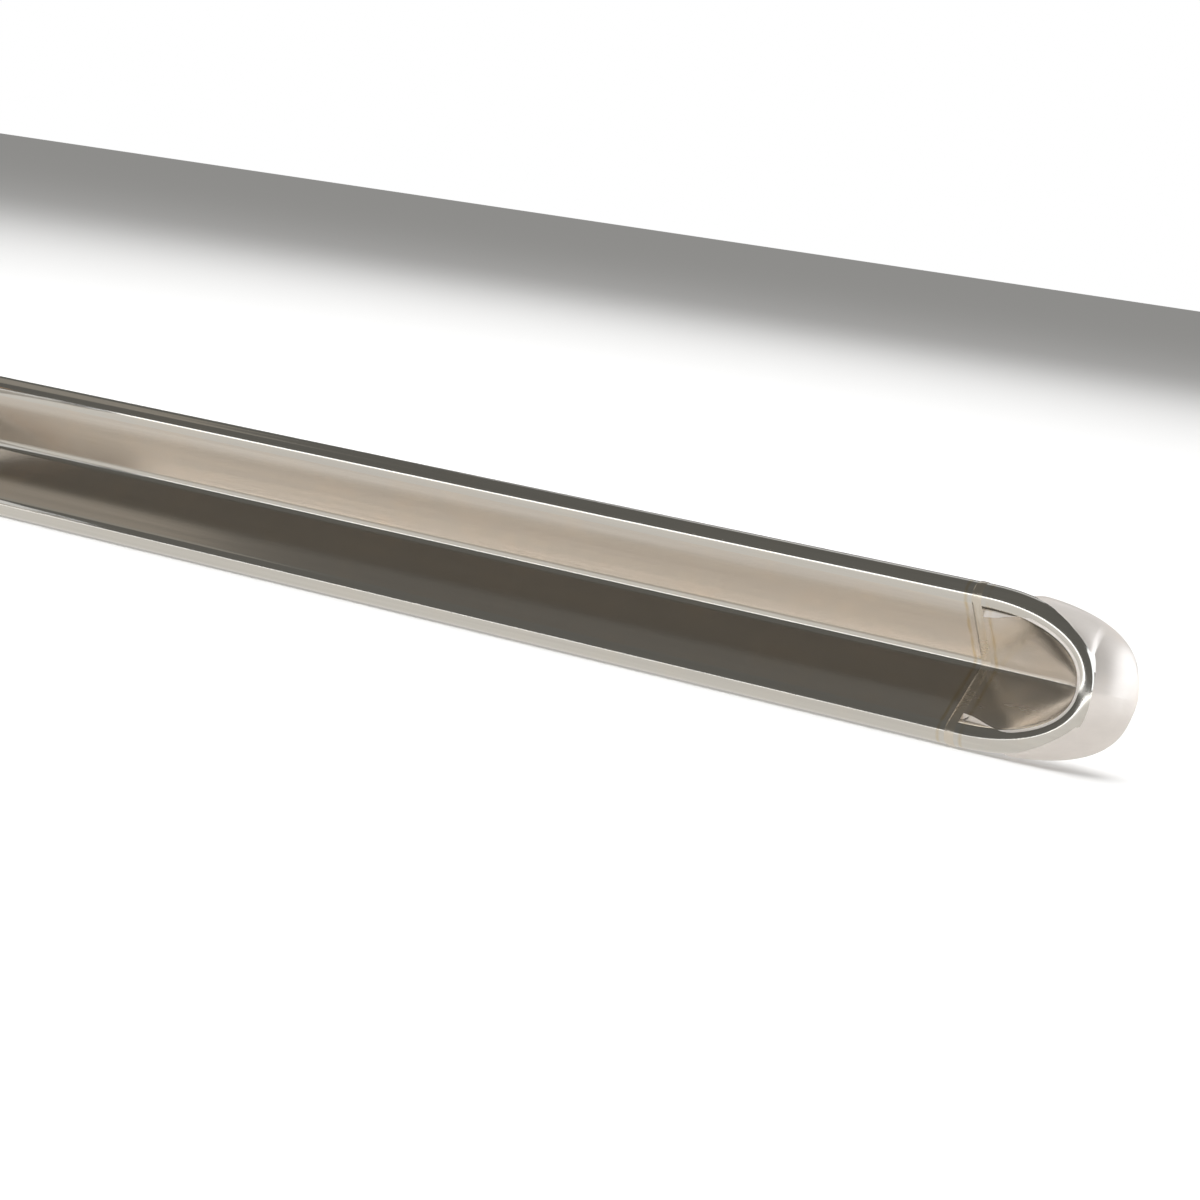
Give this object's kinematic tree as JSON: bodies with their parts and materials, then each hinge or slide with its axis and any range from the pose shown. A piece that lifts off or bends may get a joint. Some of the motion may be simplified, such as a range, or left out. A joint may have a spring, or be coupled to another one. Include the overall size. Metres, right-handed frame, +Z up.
{
  "type": "brick jointer",
  "caption": "Long V-channel sled runner for tooling mortar joints, with closed noses and a wooden grip carried on two posts over its open side.",
  "frame": {"origin": "middle of the bounding box in plan, on the surface that the tool lies on", "axes": "+X along the runner towards the front nose, -Y out of the channel's open side towards the grip, +Z up"},
  "size_m": [0.61, 0.0714, 0.0341],
  "materials": {
    "polished_steel": "polished stainless with fine lengthwise drawing lines",
    "ground_steel": "stainless, ground matt outside and polished on the rim",
    "weld": "dressed weld with straw heat tint",
    "fittings": "brushed stainless",
    "ferrule": "polished stainless",
    "fastener": "bright stainless",
    "grip_wood": "lacquered beech"
  },
  "bodies": {
    "root": {"runner_channel": "polished_steel", "front_nose_cap": "ground_steel", "rear_nose_cap": "ground_steel", "front_nose_weld": "weld", "rear_nose_weld": "weld", "front_saddle": "fittings", "rear_saddle": "fittings", "front_post": "fittings", "rear_post": "fittings", "front_saddle_weld_inner": "weld", "front_saddle_weld_outer": "weld", "rear_saddle_weld_inner": "weld", "rear_saddle_weld_outer": "weld", "front_post_weld_inner": "weld", "front_post_weld_outer": "weld", "rear_post_weld_inner": "weld", "rear_post_weld_outer": "weld", "front_ferrule": "ferrule", "rear_ferrule": "ferrule", "front_washer": "fastener", "rear_washer": "fastener", "lock_washer": "fastener", "through_bolt": "fastener", "dome_nut": "fastener", "grip": "grip_wood"}
  },
  "joints": []
}
